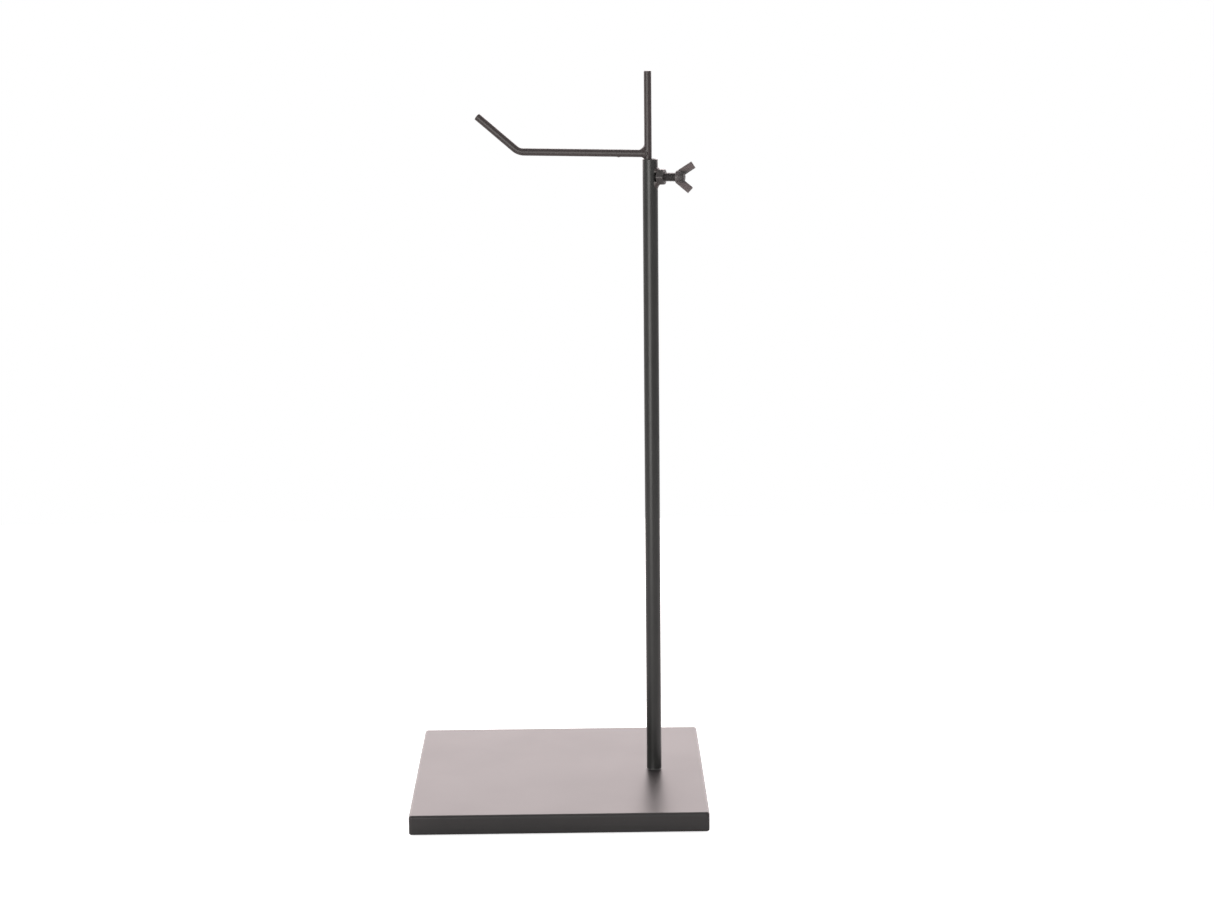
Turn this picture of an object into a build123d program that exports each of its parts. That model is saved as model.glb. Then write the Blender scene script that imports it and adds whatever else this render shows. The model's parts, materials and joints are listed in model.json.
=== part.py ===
from build123d import *
import math
import os

# Height-adjustable hook stand. Millimetres, +Z up.
# Origin: on the surface it stands on, under the centre of the square base plate.
# +X runs from the plate's centre towards the side that carries the upright.

# ---- driving dimensions --------------------------------------------------------------------
PLATE_SIDE = 200.0
PLATE_THICKNESS = 13.0
PLATE_TOP_ROUND = 1.8
PLATE_BOTTOM_EDGE = 0.6
PLATE_CORNER_RADIUS = 2.2

PAD_RADIUS = 6.0
PAD_THICKNESS = 1.5
PAD_RECESS = 1.1            # depth of the pocket that each pad sits in
PAD_POCKET_FIT = 0.2
PAD_EDGE = 0.2
PAD_INSET = 16.0            # from the plate's sides to a pad's centre

UPRIGHT_X = 66.0            # tube axis, from the plate's centre
TUBE_RADIUS = 5.15          # 1/8 inch nominal pipe
TUBE_WALL = 1.15
TUBE_LENGTH = 425.5
TUBE_EDGE = 0.25            # broken edge on the tube's rim

ROD_RADIUS = 2.5
ROD_ABOVE_ARM = 55.0
ROD_BELOW_ARM = 345.0
ROD_EDGE = 0.35

ARM_RADIUS = 2.5
ARM_ABOVE_RIM = 3.7         # arm centreline above the tube's rim at its lowest setting
ARM_REACH = 92.0            # rod axis to the corner of the bend
ARM_BEND_RADIUS = 10.0
TIP_LENGTH = 38.0           # corner of the bend to the free end
TIP_ANGLE = 38.5            # above horizontal
ARM_EDGE = 0.3

CLAMP_TURN = -18.0          # direction of the clamp screw about the upright, from +X
SCREW_BELOW_RIM = 11.8
SCREW_RADIUS = 3.0          # M6
SCREW_FIT = 0.05
SCREW_HOLE_RADIUS = 3.3     # clearance hole in the tube wall
SCREW_POINT = 0.9           # chamfer at the screw's tip

NUT_FLATS = 10.0            # M6 hexagon nut
NUT_THICKNESS = 5.0
NUT_STANDOFF = 0.2          # tube wall to the nut's near face
NUT_CHAMFER = 0.8

HEAD_START = 18.2           # tube axis to the near face of the screw's head
HUB_LENGTH = 5.8
HUB_BASE_RADIUS = 4.4
HUB_END_RADIUS = 3.5
HUB_END_ROUND = 1.0
WING_WIDTH = 4.9
WING_THICKNESS = 2.2
WING_LEAN = 37.5            # wing centreline away from the screw axis
WING_LENGTH = 15.5
WING_SPAN = 9.2             # screw axis to the middle of a wing's end
WING_REACH = 29.0           # tube axis to the middle of a wing's end, along the screw
WING_ROLL = 27.3            # turn of the wings about the screw
WING_CORNER = 0.7

PLUG_LENGTH = 16.0
PLUG_FIT = 0.02
FOOT_SCREW_RADIUS = 3.0     # M6, countersunk
FOOT_HOLE_RADIUS = 3.3
FOOT_SCREW_LENGTH = 24.0
FOOT_HEAD_RADIUS = 6.0
FOOT_SOCKET_FLATS = 4.0
FOOT_SOCKET_DEPTH = 2.4
FOOT_HEAD_SINK = 0.5        # screw head below the plate's underside

RUNNING_FIT = 0.05          # radial clearance of the telescoping rod
WELD_GAP = 0.15             # lowest weld bead above the tube's rim

# Weld beads: the leg on the upright piece, the leg on the piece welded to it.
ARM_BEAD_UPPER = (4.2, 3.7)
ARM_BEAD_LOWER = (ARM_ABOVE_RIM - ARM_RADIUS - WELD_GAP, 1.8)
ARM_BEAD_WIDTH = 3.6
NUT_BEAD_UPPER = (1.6, 2.4)
NUT_BEAD_LOWER = (3.2, 3.6)
NUT_BEAD_WIDTH = 6.4
BEAD_ROOT = 1.4             # depth of a bead's root inside the pieces it joins
BEAD_HOLLOW = 0.38          # middle of the hollow free face, as a share of each leg
BEAD_ROUND = 0.16           # rounding along a bead, as a share of its width

# ---- levels and frames worked out from them ------------------------------------------------
PLATE_BOTTOM = PAD_THICKNESS - PAD_RECESS
PLATE_TOP = PLATE_BOTTOM + PLATE_THICKNESS
RIM = PLATE_TOP + TUBE_LENGTH
TUBE_BORE = TUBE_RADIUS - TUBE_WALL
ARM_LEVEL = RIM + ARM_ABOVE_RIM
SCREW_LEVEL = RIM - SCREW_BELOW_RIM

# The rod lies against the wall opposite the clamp screw.
ROD_OFFSET = TUBE_BORE - ROD_RADIUS - RUNNING_FIT

# Clamp frame: on the tube's axis, local +X along the clamp screw, local +Z up.
CLAMP = Pos(UPRIGHT_X, 0, 0) * Rot(0, 0, CLAMP_TURN)
SCREW_FRAME = CLAMP * Pos(0, 0, SCREW_LEVEL)
# Arm frame: on the rod's axis at the arm's level, local +X towards the hook's tip.
ARM_FRAME = CLAMP * Pos(-ROD_OFFSET, 0, ARM_LEVEL) * Rot(0, 0, 180)

FLIP = Rot(180, 0, 0)
FROM_BOTTOM = (Align.CENTER, Align.CENTER, Align.MIN)


def upright_cylinder(radius, length, base=0.0):
    return Pos(0, 0, base) * Cylinder(radius, length, align=FROM_BOTTOM)


def lying_cylinder(radius, start, end):
    """Cylinder along local +X between two stations."""
    return Pos(start, 0, 0) * Rot(0, 90, 0) * Cylinder(radius, end - start, align=FROM_BOTTOM)


def rim_edges(solid, level):
    """Circular edges of a solid whose centre is at one level."""
    return solid.edges().filter_by(GeomType.CIRCLE).filter_by_position(Axis.Z, level - 1e-3, level + 1e-3)


# ---- base ----------------------------------------------------------------------------------
def base_plate():
    plate = Pos(0, 0, PLATE_BOTTOM) * Box(PLATE_SIDE, PLATE_SIDE, PLATE_THICKNESS, align=FROM_BOTTOM)
    plate = fillet(plate.edges().filter_by(Axis.Z), PLATE_CORNER_RADIUS)
    plate = fillet(plate.faces().sort_by(Axis.Z)[-1].edges(), PLATE_TOP_ROUND)
    plate = chamfer(plate.faces().sort_by(Axis.Z)[0].edges(), PLATE_BOTTOM_EDGE)
    screw_hole = upright_cylinder(FOOT_HOLE_RADIUS, PLATE_TOP)
    head_recess = upright_cylinder(FOOT_HEAD_RADIUS, PLATE_BOTTOM + FOOT_HEAD_SINK)
    countersink = Pos(0, 0, PLATE_BOTTOM + FOOT_HEAD_SINK) * screw_cone()
    plate = plate - Pos(UPRIGHT_X, 0, 0) * (screw_hole + head_recess + countersink)
    for side_x, side_y in ((-1, -1), (1, -1), (-1, 1), (1, 1)):
        plate = plate - pad_place(side_x, side_y) * upright_cylinder(PAD_RADIUS + PAD_POCKET_FIT, PAD_THICKNESS)
    return plate


def screw_cone():
    """90 degree cone of the foot screw's countersunk head, wide end down."""
    height = FOOT_HEAD_RADIUS - FOOT_SCREW_RADIUS
    return Cone(FOOT_HEAD_RADIUS, FOOT_SCREW_RADIUS, height, align=FROM_BOTTOM)


def pad_place(side_x, side_y):
    centre = PLATE_SIDE / 2 - PAD_INSET
    return Pos(side_x * centre, side_y * centre, 0)


def foot_pad(side_x, side_y):
    pad = upright_cylinder(PAD_RADIUS, PAD_THICKNESS)
    pad = chamfer(rim_edges(pad, 0), PAD_EDGE)
    return pad_place(side_x, side_y) * pad


# ---- upright -------------------------------------------------------------------------------
def upright_tube():
    tube = upright_cylinder(TUBE_RADIUS, TUBE_LENGTH) - upright_cylinder(TUBE_BORE, TUBE_LENGTH)
    tube = chamfer(rim_edges(tube, TUBE_LENGTH), TUBE_EDGE)
    tube = CLAMP * Pos(0, 0, PLATE_TOP) * tube
    return tube - SCREW_FRAME * lying_cylinder(SCREW_HOLE_RADIUS, 0, 2 * TUBE_RADIUS)


def tube_plug():
    bore = upright_cylinder(FOOT_SCREW_RADIUS + SCREW_FIT, PLUG_LENGTH)
    return Pos(UPRIGHT_X, 0, PLATE_TOP) * (upright_cylinder(TUBE_BORE - PLUG_FIT, PLUG_LENGTH) - bore)


def base_screw():
    screw = screw_cone() + upright_cylinder(FOOT_SCREW_RADIUS, FOOT_SCREW_LENGTH)
    socket = extrude(RegularPolygon(FOOT_SOCKET_FLATS / 2, 6, major_radius=False), FOOT_SOCKET_DEPTH)
    return Pos(UPRIGHT_X, 0, PLATE_BOTTOM + FOOT_HEAD_SINK) * (screw - socket)


def hexagon_nut():
    """Nut with two flats level and both faces chamfered, before its bore is cut."""
    prism = extrude(RegularPolygon(NUT_FLATS / 2, 6, major_radius=False), NUT_THICKNESS)
    rounding = Cylinder(NUT_FLATS / math.sqrt(3), NUT_THICKNESS, align=FROM_BOTTOM)
    rounding = chamfer(rounding.edges().filter_by(GeomType.CIRCLE), NUT_CHAMFER)
    return Pos(TUBE_RADIUS + NUT_STANDOFF, 0, 0) * Rot(0, 90, 0) * Rot(0, 0, 90) * (prism & rounding)


def clamp_nut():
    bore = lying_cylinder(SCREW_RADIUS + SCREW_FIT, 0, HEAD_START)
    return SCREW_FRAME * (hexagon_nut() - bore)


def corner_bead(corner_x, corner_z, legs, width):
    """Weld bead in the corner of a wall facing local +X and a floor facing local +Z.

    Its free face is hollow. Its root runs on into the wall and the floor, so that their
    round surfaces can be cut out of it.
    """
    wall_leg, floor_leg = legs
    on_floor = (corner_x + floor_leg, corner_z)
    on_wall = (corner_x, corner_z + wall_leg)
    middle = (corner_x + BEAD_HOLLOW * floor_leg, corner_z + BEAD_HOLLOW * wall_leg)
    outline = ThreePointArc(on_floor, middle, on_wall) + Polyline(
        on_wall,
        (corner_x - BEAD_ROOT, corner_z + wall_leg),
        (corner_x - BEAD_ROOT, corner_z - BEAD_ROOT),
        (corner_x + floor_leg, corner_z - BEAD_ROOT),
        on_floor)
    bead = extrude(Plane.XZ * make_face(outline), width / 2, both=True)
    return fillet(bead.edges().filter_by(GeomType.CIRCLE), width * BEAD_ROUND)


def nut_weld(legs):
    """Bead on the nut's upper flat, between it and the tube, in the clamp screw's own frame."""
    bead = corner_bead(TUBE_RADIUS, NUT_FLATS / 2, legs, NUT_BEAD_WIDTH)
    tube = upright_cylinder(TUBE_RADIUS, TUBE_LENGTH, -TUBE_LENGTH / 2)
    return bead - tube - hexagon_nut()


# ---- telescoping rod and hook arm ----------------------------------------------------------
def slide_rod():
    rod = upright_cylinder(ROD_RADIUS, ROD_ABOVE_ARM + ROD_BELOW_ARM, -ROD_BELOW_ARM)
    rod = chamfer(rim_edges(rod, ROD_ABOVE_ARM), ROD_EDGE)
    rod = chamfer(rim_edges(rod, -ROD_BELOW_ARM), ROD_EDGE)
    return ARM_FRAME * rod


def rod_cope():
    """The rod's space, taken out of the pieces that are welded on to it."""
    return upright_cylinder(ROD_RADIUS + RUNNING_FIT, 2 * ROD_ABOVE_ARM, -ROD_ABOVE_ARM)


def arm_bar():
    """The bent bar before it is coped, from the rod's axis to its flat-cut end."""
    rise = math.radians(TIP_ANGLE)
    end = (ARM_REACH + TIP_LENGTH * math.cos(rise), 0, TIP_LENGTH * math.sin(rise))
    path = FilletPolyline((0, 0, 0), (ARM_REACH, 0, 0), end, radius=ARM_BEND_RADIUS)
    bar = sweep(Plane.YZ * Circle(ARM_RADIUS), path=path)
    end_face = bar.faces().filter_by(GeomType.PLANE).sort_by(Axis.X)[-1]
    return chamfer(end_face.edges(), ARM_EDGE)


def hook_arm():
    return ARM_FRAME * (arm_bar() - rod_cope())


def arm_weld(legs):
    """Bead on top of the arm, between it and the rod, in the arm's own frame."""
    bead = corner_bead(ROD_RADIUS, ARM_RADIUS, legs, ARM_BEAD_WIDTH)
    return bead - rod_cope() - lying_cylinder(ARM_RADIUS, 0, ARM_REACH / 2)


# ---- wing screw ----------------------------------------------------------------------------
def screw_shank():
    tip = -ROD_OFFSET + ROD_RADIUS + RUNNING_FIT
    shank = Cylinder(SCREW_RADIUS, HEAD_START - tip, align=FROM_BOTTOM)
    shank = chamfer(rim_edges(shank, 0), SCREW_POINT)
    return SCREW_FRAME * Pos(tip, 0, 0) * Rot(0, 90, 0) * shank


def wing():
    """One flat bar, leaning outwards from the hub in the local XZ plane."""
    bar = Box(WING_LENGTH, WING_THICKNESS, WING_WIDTH, align=(Align.MAX, Align.CENTER, Align.CENTER))
    bar = fillet(bar.edges().filter_by(Axis.Y).group_by(Axis.X)[-1], WING_CORNER)
    return Pos(WING_REACH, 0, WING_SPAN) * Rot(0, -WING_LEAN, 0) * bar


def wing_head():
    hub = Cone(HUB_BASE_RADIUS, HUB_END_RADIUS, HUB_LENGTH, align=FROM_BOTTOM)
    hub = fillet(rim_edges(hub, HUB_LENGTH), HUB_END_ROUND)
    head = Pos(HEAD_START, 0, 0) * Rot(0, 90, 0) * hub + wing() + FLIP * wing()
    behind = Box(HEAD_START, PLATE_SIDE, PLATE_SIDE, align=(Align.MIN, Align.CENTER, Align.CENTER))
    return SCREW_FRAME * Rot(-WING_ROLL, 0, 0) * (head - behind)


PARTS = {
    "base_plate": base_plate(),
    "upright_tube": upright_tube(),
    "tube_plug": tube_plug(),
    "base_screw": base_screw(),
    "clamp_nut": clamp_nut(),
    "nut_weld_upper": SCREW_FRAME * nut_weld(NUT_BEAD_UPPER),
    "nut_weld_lower": SCREW_FRAME * FLIP * nut_weld(NUT_BEAD_LOWER),
    "slide_rod": slide_rod(),
    "hook_arm": hook_arm(),
    "arm_weld_upper": ARM_FRAME * arm_weld(ARM_BEAD_UPPER),
    "arm_weld_lower": ARM_FRAME * FLIP * arm_weld(ARM_BEAD_LOWER),
    "screw_shank": screw_shank(),
    "wing_head": wing_head(),
    "foot_pad_front_left": foot_pad(-1, -1),
    "foot_pad_front_right": foot_pad(1, -1),
    "foot_pad_rear_left": foot_pad(-1, 1),
    "foot_pad_rear_right": foot_pad(1, 1),
}

os.makedirs("parts", exist_ok=True)
for node, shape in PARTS.items():
    export_step(shape, f"parts/{node}.step")
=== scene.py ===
import json
import math

import bmesh
import bpy
from mathutils import Matrix, Vector, noise


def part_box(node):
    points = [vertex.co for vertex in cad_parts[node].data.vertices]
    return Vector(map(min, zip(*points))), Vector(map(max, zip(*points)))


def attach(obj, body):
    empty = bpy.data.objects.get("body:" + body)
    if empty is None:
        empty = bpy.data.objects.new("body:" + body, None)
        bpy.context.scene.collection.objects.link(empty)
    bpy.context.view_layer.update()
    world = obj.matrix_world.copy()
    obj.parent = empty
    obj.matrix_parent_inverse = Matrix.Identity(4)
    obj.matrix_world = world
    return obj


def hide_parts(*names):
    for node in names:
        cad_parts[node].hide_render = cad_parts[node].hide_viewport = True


# Height-adjustable hook stand: satin black paint on a square plate, a tube, a telescoping rod
# with a welded hook arm, and a wing screw. Lengths are in metres; MM turns millimetres into them.
MM = 0.001

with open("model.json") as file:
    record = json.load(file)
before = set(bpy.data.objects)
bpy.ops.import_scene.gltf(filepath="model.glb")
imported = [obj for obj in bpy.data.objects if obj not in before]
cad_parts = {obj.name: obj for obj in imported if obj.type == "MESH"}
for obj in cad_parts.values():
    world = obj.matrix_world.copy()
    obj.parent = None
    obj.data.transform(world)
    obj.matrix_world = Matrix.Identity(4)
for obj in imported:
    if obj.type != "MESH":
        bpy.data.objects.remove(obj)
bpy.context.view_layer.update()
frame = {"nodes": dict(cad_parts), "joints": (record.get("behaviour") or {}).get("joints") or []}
nodes = frame["nodes"]
joints = {joint["name"]: joint for joint in frame["joints"]}

# ---- places and sizes read from the frame --------------------------------------------------
UP = Vector((0, 0, 1))
tube_low, tube_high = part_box("upright_tube")
rod_low, rod_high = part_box("slide_rod")
TUBE_RADIUS = (tube_high.x - tube_low.x) / 2
ROD_RADIUS = (rod_high.x - rod_low.x) / 2
PLATE_TOP = tube_low.z
RIM = tube_high.z
TUBE_AXIS = Vector(((tube_low.x + tube_high.x) / 2, (tube_low.y + tube_high.y) / 2, 0))
ROD_AXIS = Vector(((rod_low.x + rod_high.x) / 2, (rod_low.y + rod_high.y) / 2, 0))
SCREW_DIRECTION = Vector(joints["screw_travel"]["axis"])
SCREW_LEVEL = joints["wing_turn"]["pos_m"][2]
ARM_LEVEL = joints["hook_swivel"]["pos_m"][2]
HEAD_START = (Vector(joints["wing_turn"]["pos_m"]) - TUBE_AXIS - UP * SCREW_LEVEL).length
ROD_OFFSET = (TUBE_AXIS - ROD_AXIS).length

# ---- sizes that the frame holds only as shapes -----------------------------------------------
TUBE_BORE = TUBE_RADIUS - 1.15 * MM
RIM_ROUND = 0.28 * MM
ROD_END_ROUND = 0.4 * MM
ARM_RADIUS = 2.5 * MM
ARM_REACH = 92.0 * MM
ARM_BEND_RADIUS = 10.0 * MM
TIP_LENGTH = 38.0 * MM
TIP_ANGLE = math.radians(38.5)
ARM_END_ROUND = 0.32 * MM
SPATTER_RING = 28           # ring of the arm with a drop of weld spatter, 21 mm from the rod's axis
SCREW_RADIUS = 3.0 * MM
SCREW_HOLE_RADIUS = 3.3 * MM
THREAD_PITCH = 1.0 * MM
THREAD_DEPTH = 0.55 * MM
NUT_FLATS = 10.0 * MM
NUT_THICKNESS = 5.0 * MM
NUT_START = TUBE_RADIUS + 0.2 * MM
NUT_CHAMFER = math.radians(30)
HUB_LENGTH = 5.8 * MM
HUB_BASE_RADIUS = 4.4 * MM
HUB_END_RADIUS = 3.5 * MM
WING_WIDTH = 4.9 * MM
WING_HALF_THICKNESS = 1.22 * MM
WING_TAPER = 0.014          # how fast each face leans towards the wing's tip
WING_LEAN = math.radians(37.5)
WING_SPAN = 9.2 * MM        # from the screw's axis to the middle of a wing's end
WING_REACH = 29.0 * MM      # from the tube's axis to the middle of a wing's end
WING_ROLL = math.radians(27.3)
QUARTER_ROUND = [math.pi / 2 * i / 5 for i in range(6)]     # angles along a softened edge


def axes_frame(x_axis, origin):
    """Frame with local X along x_axis, local Z up and its origin at a point."""
    y_axis = UP.cross(x_axis)
    rotation = Matrix((x_axis, y_axis, UP)).transposed().to_4x4()
    return Matrix.Translation(origin) @ rotation


CLAMP_FRAME = axes_frame(SCREW_DIRECTION, TUBE_AXIS + UP * SCREW_LEVEL)
TUBE_FRAME = axes_frame(SCREW_DIRECTION, TUBE_AXIS + UP * PLATE_TOP)
ROD_FRAME = axes_frame(SCREW_DIRECTION, ROD_AXIS + UP * rod_low.z)
ARM_FRAME = axes_frame(-SCREW_DIRECTION, ROD_AXIS + UP * ARM_LEVEL)


# ---- mesh tools ----------------------------------------------------------------------------
def mesh_piece(name, rings, place, loop=False, sharp=35.0):
    """Mesh through a list of rings of points. Its two ends are capped, or joined in a loop."""
    count = len(rings[0])
    bm = bmesh.new()
    rows = [[bm.verts.new(point) for point in ring] for ring in rings]
    pairs = list(zip(rows, rows[1:]))
    if loop:
        pairs.append((rows[-1], rows[0]))
    for low, high in pairs:
        for i in range(count):
            j = (i + 1) % count
            bm.faces.new((low[i], low[j], high[j], high[i]))
    if not loop:
        for row in (rows[0], rows[-1]):
            centre = bm.verts.new(sum((v.co for v in row), Vector()) / count)
            for i in range(count):
                bm.faces.new((row[i], row[(i + 1) % count], centre))
    bmesh.ops.recalc_face_normals(bm, faces=bm.faces)
    return object_from_bmesh(name, bm, place, sharp)


def object_from_bmesh(name, bm, place, sharp=35.0):
    """New object from a bmesh, smooth except along edges sharper than an angle in degrees."""
    mesh = bpy.data.meshes.new(name)
    bm.to_mesh(mesh)
    bm.free()
    mesh.shade_smooth()
    mesh.set_sharp_from_angle(angle=math.radians(sharp))
    piece = bpy.data.objects.new(name, mesh)
    bpy.context.scene.collection.objects.link(piece)
    piece.matrix_world = place
    return piece


def lathe_rings(profile, count, along="Z"):
    """Rings of a turned shape. The profile is a list of (radius, station along the axis)."""
    rings = []
    for radius, station in profile:
        ring = []
        for i in range(count):
            angle = 2 * math.pi * i / count
            across, side = radius * math.cos(angle), radius * math.sin(angle)
            ring.append((across, side, station) if along == "Z" else (station, across, side))
        rings.append(ring)
    return rings


def bake_modifiers(piece):
    """Applies a piece's modifiers to its mesh."""
    bpy.context.view_layer.update()
    evaluated = piece.evaluated_get(bpy.context.evaluated_depsgraph_get())
    mesh = bpy.data.meshes.new_from_object(evaluated)
    piece.modifiers.clear()
    piece.data = mesh


def cut_hole(piece, cutter):
    """Cuts one piece's shape out of another, and removes the cutter."""
    modifier = piece.modifiers.new("hole", "BOOLEAN")
    modifier.operation = "DIFFERENCE"
    modifier.object = cutter
    bake_modifiers(piece)
    bpy.data.objects.remove(cutter)


def lumps(point, size, seed):
    """Smooth random value between -1 and 1, with lumps of one size."""
    return noise.noise(Vector(point) / size + Vector((seed, 2.3 * seed, 5.1 * seed)))


# ---- materials -----------------------------------------------------------------------------
COLOUR_A, COLOUR_B, COLOUR_RESULT = 6, 7, 2     # sockets of a Mix node that mixes colours


class NodeCalls:
    """Short calls for a node tree."""

    def __init__(self, tree):
        self.tree = tree

    def new(self, kind):
        return self.tree.nodes.new(kind)

    def link(self, output, target):
        self.tree.links.new(output, target)

    def ramp(self, value, start, end, low=0.0, high=1.0):
        """Smooth step from low to high, while a value goes from start to end."""
        node = self.new("ShaderNodeMapRange")
        node.interpolation_type = "SMOOTHSTEP"
        node.inputs["From Min"].default_value = start
        node.inputs["From Max"].default_value = end
        node.inputs["To Min"].default_value = low
        node.inputs["To Max"].default_value = high
        self.link(value, node.inputs["Value"])
        return node.outputs["Result"]

    def multiply(self, first, second):
        """Product of an output and another output or a number."""
        node = self.new("ShaderNodeMath")
        node.operation = "MULTIPLY"
        self.link(first, node.inputs[0])
        if isinstance(second, float):
            node.inputs[1].default_value = second
        else:
            self.link(second, node.inputs[1])
        return node.outputs["Value"]

    def mix(self, factor, first, second):
        """Mixes two colours, each a tuple or an output."""
        node = self.new("ShaderNodeMix")
        node.data_type = "RGBA"
        self.link(factor, node.inputs["Factor"])
        for socket, colour in ((COLOUR_A, first), (COLOUR_B, second)):
            if isinstance(colour, tuple):
                node.inputs[socket].default_value = (*colour, 1.0)
            else:
                self.link(colour, node.inputs[socket])
        return node.outputs[COLOUR_RESULT]

    def camera_ray(self):
        return self.new("ShaderNodeLightPath").outputs["Is Camera Ray"]


class MaterialNodes(NodeCalls):
    """A new material with its textures laid out in the piece's own coordinates."""

    def __init__(self, name):
        self.material = bpy.data.materials.new(name)
        self.material.use_nodes = True
        super().__init__(self.material.node_tree)
        self.shader = self.tree.nodes["Principled BSDF"]
        self.coordinates = self.new("ShaderNodeTexCoord").outputs["Object"]

    def mapped(self, scale):
        node = self.new("ShaderNodeMapping")
        node.inputs["Scale"].default_value = scale
        self.link(self.coordinates, node.inputs["Vector"])
        return node.outputs["Vector"]

    def noise(self, size, detail=3.0, roughness=0.5, stretch=(1, 1, 1)):
        """Noise with features of one size in metres, stretched along an axis."""
        node = self.new("ShaderNodeTexNoise")
        node.inputs["Scale"].default_value = 1.0
        node.inputs["Detail"].default_value = detail
        node.inputs["Roughness"].default_value = roughness
        scale = tuple(1.0 / (size * s) for s in stretch)
        self.link(self.mapped(scale), node.inputs["Vector"])
        return node.outputs["Fac"]

    def cells(self, size):
        """Distance to the nearest of scattered points, in cells."""
        node = self.new("ShaderNodeTexVoronoi")
        node.inputs["Scale"].default_value = 1.0
        self.link(self.mapped((1.0 / size,) * 3), node.inputs["Vector"])
        return node.outputs["Distance"]

    def attribute(self, name):
        node = self.new("ShaderNodeAttribute")
        node.attribute_name = name
        return node.outputs["Fac"]

    def bump(self, height, distance, before=None):
        """Surface normal over a height, on top of an earlier bump if there is one."""
        node = self.new("ShaderNodeBump")
        node.inputs["Distance"].default_value = distance
        self.link(height, node.inputs["Height"])
        if before is not None:
            self.link(before, node.inputs["Normal"])
        return node.outputs["Normal"]

    def colour(self):
        """What the base colour is so far."""
        return self.shader.inputs["Base Color"].links[0].from_socket

    def set(self, colour=None, roughness=None, metallic=None, normal=None):
        """Links outputs to the shader."""
        outputs = {"Base Color": colour, "Roughness": roughness, "Metallic": metallic, "Normal": normal}
        for name, output in outputs.items():
            if output is not None:
                self.link(output, self.shader.inputs[name])


BASE_PAINT = (0.0165, 0.0145, 0.0148)
TUBE_PAINT = (0.0180, 0.0178, 0.0172)
# the arm's black paint made lighter on the rod: a painted sheen for the light a thin bar catches
ROD_PAINT_WITH_SHEEN = (0.0310, 0.0235, 0.0235)
ARM_PAINT = (0.0245, 0.0175, 0.0172)
BLACK_OXIDE = (0.026, 0.023, 0.023)
# lighter colour for the wings: partly rubbed oxide, partly a painted reflection of the bright backdrop
RUBBED_OXIDE_AND_SHEEN = (0.100, 0.078, 0.079)
EDGE_STEEL = (0.11, 0.10, 0.10)
BARE_STEEL = (0.36, 0.34, 0.33)
PAINT_IOR = 1.43


def satin_paint(name, colour, roughness, peel=0.9 * MM, peel_depth=0.012 * MM, grit=0.0):
    """Black satin paint: slow tone drift, orange peel, fine grit and a few dust nibs."""
    n = MaterialNodes(name)
    n.shader.inputs["IOR"].default_value = PAINT_IOR
    lighter = tuple(c * 1.2 for c in colour)
    dusty = tuple(c * 3.2 for c in colour)
    tone = n.mix(n.ramp(n.noise(38 * MM, detail=2.0), 0.35, 0.68), colour, lighter)
    dust = n.ramp(n.cells(7.5 * MM), 0.022, 0.035, 1.0, 0.0)
    surface = n.bump(n.noise(peel, detail=2.0), peel_depth)
    if grit:
        surface = n.bump(n.noise(0.16 * MM, detail=2.0), grit, surface)
    n.set(colour=n.mix(dust, tone, dusty),
          roughness=n.ramp(n.noise(55 * MM, detail=2.0), 0.3, 0.75, roughness - 0.008, roughness + 0.008),
          normal=n.bump(dust, 0.03 * MM, surface))
    return n


def base_paint():
    return satin_paint("base_paint", BASE_PAINT, 0.395).material


def tube_paint():
    return satin_paint("tube_paint", TUBE_PAINT, 0.33, peel=1.1 * MM).material


def rod_paint(name, colour, marks=None):
    """Satin paint on drawn bar; marks names an attribute of rubbed steel."""
    n = satin_paint(name, colour, 0.40, peel=0.7 * MM)
    if marks:
        streak = n.noise(0.35 * MM, detail=3.0, stretch=(1, 1, 26))
        worn = n.multiply(n.attribute(marks), n.ramp(streak, 0.52, 0.64))
        n.set(colour=n.mix(worn, n.colour(), BARE_STEEL), metallic=worn)
    return n.material


def weld_paint():
    n = satin_paint("weld_paint", ARM_PAINT, 0.37, peel=0.5 * MM, peel_depth=0.02 * MM, grit=0.006 * MM)
    return n.material


def fastener_black(name, rubbed_and_sheen=None):
    """Black-oxide steel, rubbed along its edges, and lighter where an attribute says so: partly rubbed
    oxide, partly a painted reflection of the bright backdrop.
    """
    n = satin_paint(name, BLACK_OXIDE, 0.42, peel=0.45 * MM, peel_depth=0.02 * MM, grit=0.010 * MM)
    if rubbed_and_sheen:
        cloud = n.ramp(n.noise(2.4 * MM, detail=3.0), 0.25, 0.7, 0.65, 1.0)
        # painted reflection: the wings get the lighter colour, which is partly rubbed oxide as well
        n.set(colour=n.mix(n.multiply(n.attribute(rubbed_and_sheen), cloud), n.colour(), RUBBED_OXIDE_AND_SHEEN))
    patch = n.noise(0.8 * MM, detail=4.0, roughness=0.65)
    worn = n.multiply(n.attribute("edge"), n.ramp(patch, 0.45, 0.62))
    n.set(colour=n.mix(worn, n.colour(), EDGE_STEEL), metallic=n.multiply(worn, 0.8))
    return n.material


def hidden_steel():
    """Bright zinc-plated steel with fine turning lines."""
    n = MaterialNodes("hidden_steel")
    blotch = n.noise(1.6 * MM, detail=4.0)
    n.shader.inputs["Metallic"].default_value = 1.0
    n.set(colour=n.mix(blotch, (0.33, 0.33, 0.34), (0.52, 0.52, 0.54)),
          roughness=n.ramp(blotch, 0.3, 0.7, 0.26, 0.42),
          normal=n.bump(n.noise(0.12 * MM, stretch=(9, 9, 1)), 0.01 * MM))
    return n.material


def pad_rubber():
    """Matte black rubber with a fine grain and a little chalky bloom."""
    n = MaterialNodes("pad_rubber")
    bloom = n.noise(3.0 * MM, detail=4.0)
    n.set(colour=n.mix(n.ramp(bloom, 0.45, 0.8), (0.014, 0.014, 0.014), (0.045, 0.044, 0.043)),
          roughness=n.ramp(bloom, 0.3, 0.7, 0.72, 0.88),
          normal=n.bump(n.noise(0.22 * MM, detail=2.0), 0.03 * MM))
    return n.material


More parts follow.
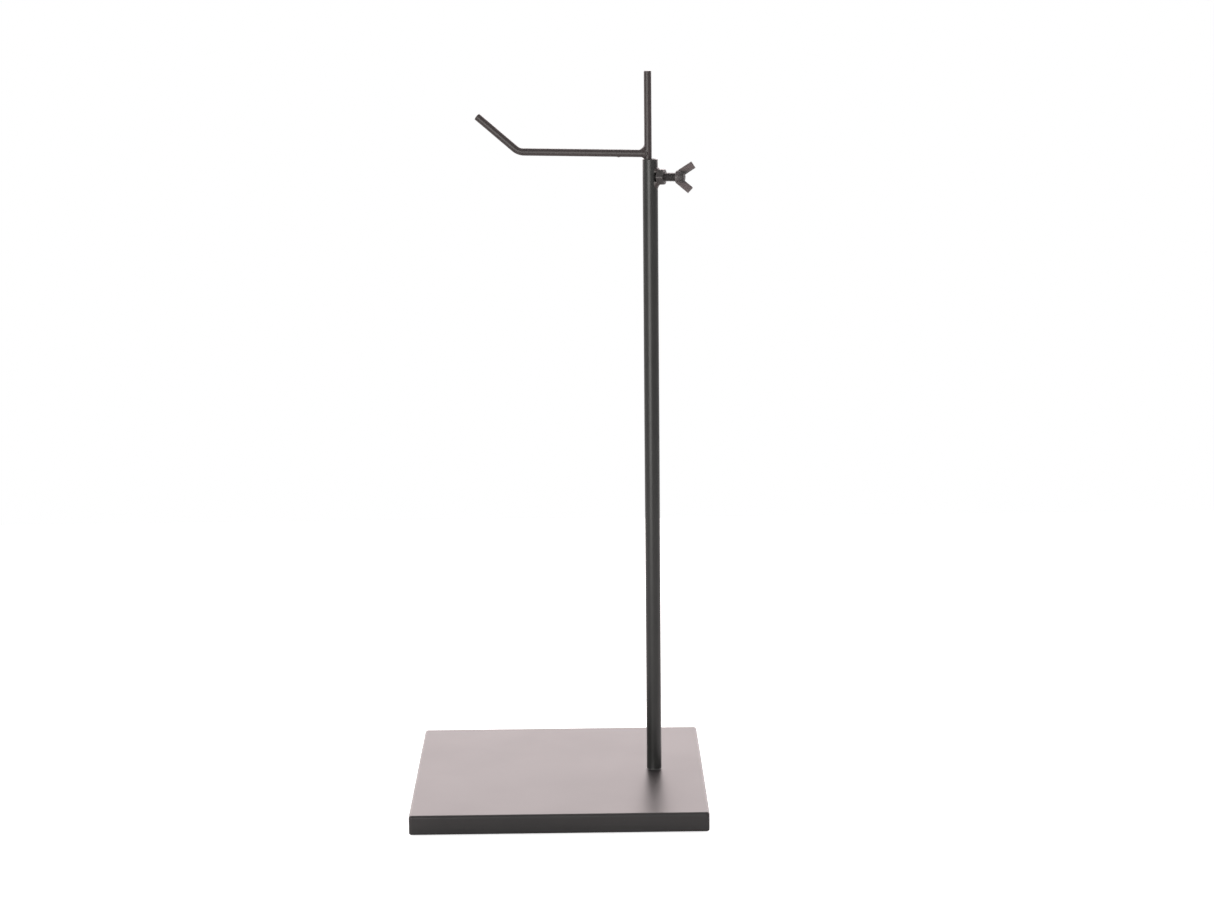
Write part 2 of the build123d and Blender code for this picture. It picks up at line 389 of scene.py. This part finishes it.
def floor_white():
    """Plain white table top with a very faint mottle, a little overexposed for the camera."""
    n = MaterialNodes("studio_floor")
    n.set(colour=n.mix(n.noise(0.3), (0.86, 0.86, 0.86), (0.89, 0.89, 0.89)))
    n.shader.inputs["Roughness"].default_value = 0.85
    glow = n.new("ShaderNodeEmission")
    n.link(n.multiply(n.camera_ray(), 0.6), glow.inputs["Strength"])
    both = n.new("ShaderNodeAddShader")
    n.link(n.shader.outputs["BSDF"], both.inputs[0])
    n.link(glow.outputs["Emission"], both.inputs[1])
    n.link(both.outputs["Shader"], n.tree.nodes["Material Output"].inputs["Surface"])
    return n.material


def dress(piece, material, body, replaces):
    """Gives a new piece its material and body, and hides the CAD nodes it stands for."""
    piece.data.materials.clear()
    piece.data.materials.append(material)
    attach(piece, body)
    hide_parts(*replaces)


def edge_attribute(piece, sharp_degrees, spread):
    """Writes a point attribute that is 1 along convex edges and fades over a few vertices."""
    bm = bmesh.new()
    bm.from_mesh(piece.data)
    bm.verts.ensure_lookup_table()
    value = [0.0] * len(bm.verts)
    for edge in bm.edges:
        if len(edge.link_faces) == 2 and edge.calc_face_angle_signed(0) > math.radians(sharp_degrees):
            for vert in edge.verts:
                value[vert.index] = 1.0
    for _ in range(spread):
        before = list(value)
        for vert in bm.verts:
            near = [before[e.other_vert(vert).index] for e in vert.link_edges]
            value[vert.index] = max(before[vert.index], 0.6 * max(near, default=0.0))
    bm.free()
    attribute = piece.data.attributes.new("edge", "FLOAT", "POINT")
    attribute.data.foreach_set("value", value)


# ---- upright -------------------------------------------------------------------------------
def upright_tube(material):
    """Open tube with softened rim, a paint fillet at its foot and the hole for the screw."""
    length = RIM - PLATE_TOP
    soft = RIM_ROUND
    foot = [(TUBE_RADIUS + 0.50 * MM, 0.0), (TUBE_RADIUS + 0.20 * MM, 0.14 * MM),
            (TUBE_RADIUS + 0.06 * MM, 0.38 * MM), (TUBE_RADIUS, 0.85 * MM)]
    stations = 40
    wall = [(TUBE_RADIUS, length * i / stations) for i in range(1, stations)]
    rim = [(TUBE_RADIUS - soft * (1 - math.cos(a)), length - soft * (1 - math.sin(a)))
           for a in QUARTER_ROUND]
    mouth = [(TUBE_BORE + soft * (1 - math.cos(a)), length - soft * (1 - math.sin(a)))
             for a in reversed(QUARTER_ROUND)]
    inside = [(TUBE_BORE, length * 0.94), (TUBE_BORE, length * 0.5), (TUBE_BORE, 0.0)]
    rings = lathe_rings(foot + wall + rim + mouth + inside, 96)
    tube = mesh_piece("upright_tube_shell", rings, TUBE_FRAME, loop=True)
    hole = [(SCREW_HOLE_RADIUS, 0.0), (SCREW_HOLE_RADIUS, 2 * TUBE_RADIUS)]
    cut_hole(tube, mesh_piece("hole_cutter", lathe_rings(hole, 48, "X"), CLAMP_FRAME))
    tube.data.set_sharp_from_angle(angle=math.radians(35))
    dress(tube, material, "stand", ["upright_tube"])


# ---- clamp nut and its weld ----------------------------------------------------------------
def hexagon_radius(angle):
    """Distance from the nut's axis to its outline. Two flats are level, corners a little blunt."""
    blunt = 0.13 * MM
    sector = math.pi / 3
    turn = (angle + sector / 2) % sector - sector / 2
    return min(NUT_FLATS / 2 / math.cos(turn), NUT_FLATS / math.sqrt(3) - blunt)


def clamp_nut(material):
    """M6 nut with 30 degree chamfers, whose curved edges run up to the corners."""
    count = 120
    bore = SCREW_RADIUS + 0.05 * MM
    countersink = 0.4 * MM
    mouth = SCREW_RADIUS + countersink
    face = NUT_FLATS / 2 * 0.95
    angles = [2 * math.pi * i / count for i in range(count)]

    def ring(radius, station):
        ring_points = []
        for angle in angles:
            r, x = radius(angle), station(angle)
            ring_points.append((NUT_START + x, r * math.sin(angle), r * math.cos(angle)))
        return ring_points

    def chamfer(angle):
        return (hexagon_radius(angle) - face) * math.tan(NUT_CHAMFER)

    def flank(share):
        return ring(hexagon_radius, lambda a: chamfer(a) + share * (NUT_THICKNESS - 2 * chamfer(a)))

    rings = [
        ring(lambda a: bore, lambda a: countersink),
        ring(lambda a: mouth, lambda a: 0.0),
        ring(lambda a: face, lambda a: 0.0),
        *(flank(share) for share in (0.0, 0.04, 0.12, 0.5, 0.88, 0.96, 1.0)),
        ring(lambda a: face, lambda a: NUT_THICKNESS),
        ring(lambda a: mouth, lambda a: NUT_THICKNESS),
        ring(lambda a: bore, lambda a: NUT_THICKNESS - countersink),
    ]
    nut = mesh_piece("hexagon_nut", rings, CLAMP_FRAME, loop=True, sharp=18.0)
    edge_attribute(nut, sharp_degrees=15.0, spread=1)
    dress(nut, material, "stand", ["clamp_nut"])


def nut_bead(name, upward, wall_leg, nut_leg, hollow, node, material):
    """Weld run in the corner of the tube and one level flat of the nut, thinning at its ends.

    `upward` is 1 above the nut and -1 below it. The two legs are how far the run climbs the tube
    and how far it spreads on the nut.
    """
    along, across = 40, 9
    half_length = 3.7 * MM
    flat_half_length = 2.6 * MM
    corner_fall = 1.3           # how fast the nut's outline falls away past the end of its flat
    ripples, ripple_depth = 13, 0.09 * MM
    rings = []
    for i in range(along + 1):
        share = 2 * i / along - 1
        y = half_length * math.sin(share * math.pi / 2)
        taper = max(0.0, 1 - share ** 2) ** 0.45
        shift = 1.7 * lumps((share, 0, 0), 0.5, 3.0 + upward)
        ripple = ripple_depth * math.sin(share * ripples + shift)
        base = NUT_FLATS / 2 - max(0.0, abs(y) - flat_half_length) * corner_fall
        wall = math.sqrt(TUBE_RADIUS ** 2 - y ** 2) - 0.06 * MM
        toe_wall = Vector((wall, y, base + taper * (wall_leg + ripple)))
        toe_nut = Vector((NUT_START + taper * (nut_leg + ripple), y, base - 0.04 * MM))
        ring = []
        for j in range(across):
            s = j / (across - 1)
            lump = 0.10 * MM * lumps((share * 3, s * 2, upward), 0.8, 7.0)
            bulge = 4 * s * (1 - s) * taper * (lump + 0.5 * ripple - hollow)
            ring.append(toe_wall.lerp(toe_nut, s) + Vector((bulge, 0, bulge)))
        root = base - (0.12 + 0.9 * taper) * MM
        ring.append(Vector((NUT_START + 0.3 * taper * MM, y, root)))
        ring.append(Vector((wall - 0.3 * MM, y, root)))
        for point in ring:
            point.z *= upward
        rings.append(ring)
    bead = mesh_piece(name, rings, CLAMP_FRAME, sharp=60.0)
    dress(bead, material, "stand", [node])


# ---- rod and hook arm ----------------------------------------------------------------------
def slide_rod(material):
    """Drawn round bar with softened saw-cut ends and rub marks where the screw bears on it."""
    length = rod_high.z - rod_low.z
    soft = ROD_END_ROUND
    stations = 160
    foot = [(ROD_RADIUS - soft * (1 - math.sin(a)), soft * (1 - math.cos(a))) for a in QUARTER_ROUND]
    shaft = [(ROD_RADIUS, soft + (length - 2 * soft) * i / stations) for i in range(1, stations)]
    head = [(ROD_RADIUS - soft * (1 - math.cos(a)), length - soft * (1 - math.sin(a)))
            for a in QUARTER_ROUND]
    rod = mesh_piece("telescoping_rod", lathe_rings(foot + shaft + head, 64), ROD_FRAME)
    marks = rod.data.attributes.new("marks", "FLOAT", "POINT")
    marks_end = SCREW_LEVEL - rod_low.z + 2 * MM
    for vert, value in zip(rod.data.vertices, marks.data):
        facing = max(0.0, vert.co.x / ROD_RADIUS) ** 5
        value.value = facing if vert.co.z <= marks_end else 0.0
    dress(rod, material, "rod", ["slide_rod"])


def arm_path():
    """Points and angles along the arm's centreline, then its end and the tip's direction."""
    straight_steps, bend_steps, tip_steps = 120, 18, 40
    setback = ARM_BEND_RADIUS * math.tan(TIP_ANGLE / 2)
    bend_start = ARM_REACH - setback
    path = [(Vector((bend_start * i / straight_steps, 0, 0)), 0.0) for i in range(straight_steps + 1)]
    centre = Vector((bend_start, 0, ARM_BEND_RADIUS))
    for i in range(1, bend_steps + 1):
        angle = TIP_ANGLE * i / bend_steps
        path.append((centre + ARM_BEND_RADIUS * Vector((math.sin(angle), 0, -math.cos(angle))), angle))
    tip_start = path[-1][0]
    along = Vector((math.cos(TIP_ANGLE), 0, math.sin(TIP_ANGLE)))
    tip_run = TIP_LENGTH - setback
    path += [(tip_start + along * tip_run * i / tip_steps, TIP_ANGLE) for i in range(1, tip_steps)]
    return path, tip_start + along * tip_run, along


def hook_arm(material):
    """Bent bar, fitted round the rod at one end and saw-cut at the other."""
    count = 64
    turns = [2 * math.pi * i / count for i in range(count)]
    sideways = Vector((0, 1, 0))
    path, end, along = arm_path()
    rings = []
    for index, (centre, angle) in enumerate(path):
        normal = Vector((-math.sin(angle), 0, math.cos(angle)))
        bending = math.sin(math.pi * min(1.0, max(0.0, angle / TIP_ANGLE)))
        drop = 0.16 * math.exp(-((index - SPATTER_RING) / 1.1) ** 2)
        ring = []
        for turn in turns:
            side, rise = math.cos(turn), math.sin(turn)
            flat = 1.0 - 0.035 * bending * abs(rise)
            wide = 1.0 + 0.020 * bending
            dent = 1.0 + 0.012 * lumps((index * 0.09, side, rise), 1.0, 5.0)
            radius = ARM_RADIUS * (dent + drop * max(0.0, -rise) ** 14)
            point = centre + radius * (sideways * side * wide + normal * rise * flat)
            if index == 0:
                point.x = math.sqrt(max(0.0, (ROD_RADIUS + 0.02 * MM) ** 2 - point.y ** 2))
            else:
                rod_wall = math.sqrt(max(0.0, ROD_RADIUS ** 2 - point.y ** 2))
                point.x = max(point.x, rod_wall + 0.03 * index * MM)
            ring.append(point)
        rings.append(ring)
    normal = Vector((-along.z, 0, along.x))
    for angle in QUARTER_ROUND:
        radius = ARM_RADIUS - ARM_END_ROUND * (1 - math.cos(angle))
        centre = end - along * ARM_END_ROUND * (1 - math.sin(angle))
        rings.append([centre + radius * (sideways * math.cos(turn) + normal * math.sin(turn))
                      for turn in turns])
    arm = mesh_piece("bent_hook_arm", rings, ARM_FRAME)
    dress(arm, material, "hook", ["hook_arm"])


def arm_bead(material):
    """Weld run all round the joint of arm and rod: large and hollow above, small below.

    Its root follows the curve in which two equal round bars meet. On the rod its toe runs
    outside that curve, and at the sides, where the bars are level, it swells outwards.
    """
    around, across = 128, 11
    ripples, ripple_depth = 19, 0.06 * MM
    bite = 0.05 * MM            # how far the toes sink into the bars
    rings = []
    for i in range(around):
        turn = 2 * math.pi * i / around
        rise, side = math.cos(turn), math.sin(turn)
        above, below = max(0.0, rise) ** 1.4, max(0.0, -rise) ** 1.2
        ripple = ripple_depth * math.sin(turn * ripples + 1.5 * lumps((rise, side, 0), 0.6, 4.0))
        rod_leg = (1.0 + 3.0 * above) * MM + ripple
        arm_leg = (1.1 + 2.5 * above + 0.7 * below) * MM + ripple
        azimuth = math.asin(side)
        seam = Vector((ROD_RADIUS * math.cos(azimuth), ARM_RADIUS * side, ARM_RADIUS * rise))
        toe_arm = seam + Vector((arm_leg, -bite * side, -bite * rise))
        spread = Vector((abs(side), max(-1.0, min(1.0, 2.5 * rise)))).normalized()
        toe_azimuth = azimuth + math.copysign(rod_leg * spread.x / ROD_RADIUS, side)
        radius = ROD_RADIUS - bite
        toe_rod = Vector((radius * math.cos(toe_azimuth), radius * math.sin(toe_azimuth),
                          seam.z + rod_leg * spread.y))
        from_arm = Vector((0, side, rise))
        from_rod = Vector((math.cos(azimuth), math.sin(azimuth), 0))
        outward = (from_arm + from_rod).normalized()
        height = (0.55 - 1.25 * above - 0.45 * below) * MM
        ring = []
        for j in range(across):
            s = j / (across - 1)
            lump = 0.09 * MM * lumps((rise * 2, side * 2, s * 2), 0.7, 9.0)
            bulge = 4 * s * (1 - s) * (height + 0.6 * ripple + lump)
            ring.append(toe_arm.lerp(toe_rod, s) + outward * bulge)
        ring.append(seam * 0.75)
        rings.append(ring)
    bead = mesh_piece("arm_weld_run", rings, ARM_FRAME, loop=True, sharp=60.0)
    dress(bead, material, "hook", ["arm_weld_upper", "arm_weld_lower"])


# ---- wing screw ----------------------------------------------------------------------------
def screw_shank(material):
    """M6 shank with a real right-hand thread, a turned-down tip and a run-out under the head."""
    tip = ROD_RADIUS - ROD_OFFSET + 0.05 * MM       # just clear of the rod
    tip_radius, runout_length = 2.1 * MM, 0.9 * MM
    crest, flank_width = 0.07, 0.36                 # half widths, as shares of the pitch
    count, per_pitch = 48, 14
    steps = int((HEAD_START - tip) / THREAD_PITCH * per_pitch)
    rings = []
    for k in range(steps + 1):
        x = tip + (HEAD_START - tip) * k / steps
        point_limit = tip_radius + (x - tip)
        runout = min(1.0, max(0.0, (HEAD_START - 0.2 * MM - x) / runout_length))
        ring = []
        for i in range(count):
            angle = 2 * math.pi * i / count
            phase = (x / THREAD_PITCH - angle / (2 * math.pi)) % 1.0
            flank = min(1.0, max(0.0, (abs(phase - 0.5) - crest) / flank_width))
            radius = min(SCREW_RADIUS - THREAD_DEPTH * flank * runout, point_limit)
            ring.append((x, radius * math.cos(angle), radius * math.sin(angle)))
        rings.append(ring)
    shank = mesh_piece("threaded_shank", rings, CLAMP_FRAME, sharp=50.0)
    edge_attribute(shank, sharp_degrees=30.0, spread=0)
    dress(shank, material, "screw", ["screw_shank"])


def wing_outline():
    """Outline of both wings in the plane of the screw's axis: (along the axis, away from it).

    It starts at the root of the upper wing and goes round its end to the fork, which is the
    middle point, and then back along the lower wing.
    """
    along = Vector((math.cos(WING_LEAN), math.sin(WING_LEAN)))
    across = Vector((-along.y, along.x))
    end = Vector((WING_REACH, WING_SPAN))
    outer, inner = end + across * WING_WIDTH / 2, end - across * WING_WIDTH / 2
    root = Vector((HEAD_START, outer.y - (outer.x - HEAD_START) * math.tan(WING_LEAN)))
    fork = Vector((inner.x - inner.y / math.tan(WING_LEAN), 0))
    upper = [root, outer, inner]
    return upper + [fork] + [Vector((p.x, -p.y)) for p in reversed(upper)]


def add_wings(bm):
    """Adds both wings as one flat plate, a little thinner towards the tips."""
    outline = wing_outline()
    depths = [WING_HALF_THICKNESS - WING_TAPER * (p.x - HEAD_START) for p in outline]
    rows = [[bm.verts.new((p.x, side * depth, p.y)) for p, depth in zip(outline, depths)]
            for side in (-1, 1)]
    low, high = rows
    for i in range(len(outline)):
        j = (i + 1) % len(outline)
        bm.faces.new((low[i], low[j], high[j], high[i]))
    for row in rows:
        root, outer, inner, fork, lower_inner, lower_outer, lower_root = row
        bm.faces.new((root, outer, inner, fork))
        bm.faces.new((fork, lower_inner, lower_outer, lower_root))
        bm.faces.new((root, fork, lower_root))


def add_hub(bm):
    """Adds the tapered hub, with a softened base and a rounded end."""
    centre = 0.05 * MM          # radius of the small face at the middle of each end
    profile = [
        (centre, 0.0),
        (HUB_BASE_RADIUS - 0.3 * MM, 0.0),
        (HUB_BASE_RADIUS, 0.3 * MM),
        (HUB_BASE_RADIUS - 0.1 * MM, 1.6 * MM),
        (HUB_END_RADIUS, HUB_LENGTH - 1.1 * MM),
        (HUB_END_RADIUS - 0.35 * MM, HUB_LENGTH - 0.35 * MM),
        (HUB_END_RADIUS - 1.1 * MM, HUB_LENGTH),
        (centre, HUB_LENGTH),
    ]
    rings = [[(x + HEAD_START, y, z) for x, y, z in ring] for ring in lathe_rings(profile, 48, "X")]
    rows = [[bm.verts.new(point) for point in ring] for ring in rings]
    for low, high in zip(rows, rows[1:]):
        for i in range(len(low)):
            j = (i + 1) % len(low)
            bm.faces.new((low[i], low[j], high[j], high[i]))
    bm.faces.new(rows[0])
    bm.faces.new(rows[-1])


def wing_head(material):
    """Forged head: a tapered hub and two flat wings, grown together with small fillets."""
    bm = bmesh.new()
    add_wings(bm)
    add_hub(bm)
    bmesh.ops.recalc_face_normals(bm, faces=bm.faces)
    head = object_from_bmesh("forged_wing_head", bm, CLAMP_FRAME @ Matrix.Rotation(-WING_ROLL, 4, "X"))
    remesh = head.modifiers.new("grow_together", "REMESH")
    remesh.mode = "VOXEL"
    remesh.voxel_size = 0.16 * MM
    smooth = head.modifiers.new("soften", "SMOOTH")
    smooth.factor = 0.5
    smooth.iterations = 7
    bake_modifiers(head)
    shifts = [vert.normal * 0.045 * MM * lumps(vert.co, 1.3 * MM, 11.0) for vert in head.data.vertices]
    for vert, shift in zip(head.data.vertices, shifts):
        vert.co += shift
    thin = head.modifiers.new("thin_out", "DECIMATE")
    thin.ratio = 0.35
    bake_modifiers(head)
    head.data.shade_smooth()
    edge_attribute(head, sharp_degrees=13.0, spread=1)
    # wings lighter than the hub, further from the axis: partly rubbed oxide, partly a painted reflection
    # of the bright backdrop
    rubbed_and_sheen = head.data.attributes.new("rubbed_and_sheen", "FLOAT", "POINT")
    lighter_from, fade = 3.6 * MM, 1.8 * MM
    for vert, value in zip(head.data.vertices, rubbed_and_sheen.data):
        from_axis = math.hypot(vert.co.y, vert.co.z)
        value.value = min(1.0, max(0.0, (from_axis - lighter_from) / fade))
    dress(head, material, "wings", ["wing_head"])


# ---- the stand -----------------------------------------------------------------------------
def paint_node(node, material):
    """Better material on a CAD node whose shape is already right."""
    nodes[node].data.materials.clear()
    nodes[node].data.materials.append(material)


def build_stand():
    painted_rod = rod_paint("rod_paint_marked", ROD_PAINT_WITH_SHEEN, marks="marks")
    painted_arm = rod_paint("rod_paint", ARM_PAINT)
    painted_weld = weld_paint()
    oxide = fastener_black("fastener_black")
    rubbed_and_sheen = fastener_black("fastener_black_rubbed_and_sheen", rubbed_and_sheen="rubbed_and_sheen")
    steel = hidden_steel()
    rubber = pad_rubber()
    paint_node("base_plate", base_paint())
    paint_node("base_screw", steel)
    paint_node("tube_plug", steel)
    for end in ("front", "rear"):
        for side in ("left", "right"):
            paint_node(f"foot_pad_{end}_{side}", rubber)
    upright_tube(tube_paint())
    clamp_nut(oxide)
    nut_bead("nut_weld_over", 1, wall_leg=1.3 * MM, nut_leg=1.4 * MM, hollow=0.05 * MM,
             node="nut_weld_upper", material=painted_weld)
    nut_bead("nut_weld_under", -1, wall_leg=3.1 * MM, nut_leg=1.9 * MM, hollow=0.35 * MM,
             node="nut_weld_lower", material=painted_weld)
    slide_rod(painted_rod)
    hook_arm(painted_arm)
    arm_bead(painted_weld)
    screw_shank(oxide)
    wing_head(rubbed_and_sheen)


# ---- camera, light and floor ----------------------------------------------------------------
CAMERA_AT = Vector((18.6, -1755.5, 567.6)) * MM
CAMERA_AIM = Vector((35.1, 0.0, 240.5)) * MM
CAMERA_ROLL = math.radians(0.566)
CAMERA_LENS = 77.26         # mm
SENSOR_WIDTH = 36.0         # mm
FLOOR_HALF_WIDTH = 0.9


def camera():
    data = bpy.data.cameras.new("camera")
    data.lens = CAMERA_LENS
    data.sensor_width = SENSOR_WIDTH
    data.sensor_fit = "HORIZONTAL"
    data.clip_start, data.clip_end = 0.01, 50.0
    lens = bpy.data.objects.new("camera", data)
    bpy.context.scene.collection.objects.link(lens)
    forward = (CAMERA_AIM - CAMERA_AT).normalized()
    right = forward.cross(UP).normalized()
    down = forward.cross(right)
    tilted_right = right * math.cos(CAMERA_ROLL) + down * math.sin(CAMERA_ROLL)
    tilted_up = right * math.sin(CAMERA_ROLL) - down * math.cos(CAMERA_ROLL)
    lens.matrix_world = Matrix.Translation(CAMERA_AT) @ Matrix(
        (tilted_right, tilted_up, -forward)).transposed().to_4x4()
    bpy.context.scene.camera = lens


class SkyNodes(NodeCalls):
    """Light that depends only on the direction it comes from."""

    def __init__(self):
        self.world = bpy.data.worlds.new("studio")
        self.world.use_nodes = True
        super().__init__(self.world.node_tree)
        self.direction = self.new("ShaderNodeTexCoord").outputs["Generated"]
        self.background = self.tree.nodes["Background"]

    def vector(self, operation, *inputs):
        """Vector operation on outputs and tuples."""
        node = self.new("ShaderNodeVectorMath")
        node.operation = operation
        for socket, value in zip(node.inputs, inputs):
            if isinstance(value, tuple):
                socket.default_value = value
            else:
                self.link(value, socket)
        return node

    def level_direction(self):
        flat = self.vector("MULTIPLY", self.direction, (1.0, 1.0, 0.0)).outputs["Vector"]
        return self.vector("NORMALIZE", flat).outputs["Vector"]

    def toward(self, bearing, direction):
        """Cosine of the angle between a direction and a compass bearing (0 is +X, 90 is +Y)."""
        angle = math.radians(bearing)
        target = (math.cos(angle), math.sin(angle), 0.0)
        return self.vector("DOT_PRODUCT", direction, target).outputs["Value"]

    def height(self):
        node = self.new("ShaderNodeSeparateXYZ")
        self.link(self.direction, node.inputs[0])
        return node.outputs["Z"]

    def tinted(self, amount, colour, base):
        """A base colour plus an amount of another one."""
        return self.vector("MULTIPLY_ADD", amount, colour, base).outputs["Vector"]


ROOM_LIGHT = (0.62, 0.62, 0.62)
BACK_LIGHT = (3.65, 3.16, 3.16)
STRIP_LIGHT = (5.2, 5.2, 5.0)
TOP_LIGHT = (0.30, 0.29, 0.29)
STRIP_BEARING = -114.0
STRIP_HALF_ANGLE = math.radians(11)     # full brightness inside this angle
STRIP_FADE_ANGLE = math.radians(20)     # and none outside this one


def sky():
    """White room, a brighter sweep behind, a ceiling light and a low softbox at the front left."""
    n = SkyNodes()
    level = n.level_direction()
    height = n.height()
    overhead = n.ramp(height, 0.60, 0.95)
    behind = n.ramp(n.toward(90.0, level), 0.15, 0.75)
    low = n.multiply(n.ramp(height, 0.50, 0.75, 1.0, 0.0), n.ramp(height, -0.05, 0.03))
    beside = n.ramp(n.toward(STRIP_BEARING, level), math.cos(STRIP_FADE_ANGLE), math.cos(STRIP_HALF_ANGLE))
    lowest = n.ramp(height, 0.28, 0.46, 1.0, 0.0)
    total = n.tinted(overhead, TOP_LIGHT, ROOM_LIGHT)
    total = n.tinted(n.multiply(behind, low), BACK_LIGHT, total)
    total = n.tinted(n.multiply(beside, lowest), STRIP_LIGHT, total)
    n.link(n.mix(n.camera_ray(), total, (1.0, 1.0, 1.0)), n.background.inputs["Color"])
    bpy.context.scene.world = n.world


def studio():
    bm = bmesh.new()
    bmesh.ops.create_grid(bm, x_segments=1, y_segments=1, size=FLOOR_HALF_WIDTH)
    floor = object_from_bmesh("studio_floor", bm, Matrix.Identity(4))
    floor.data.materials.append(floor_white())
    sky()
    bpy.context.scene.view_settings.view_transform = "Standard"


build_stand()
camera()
studio()
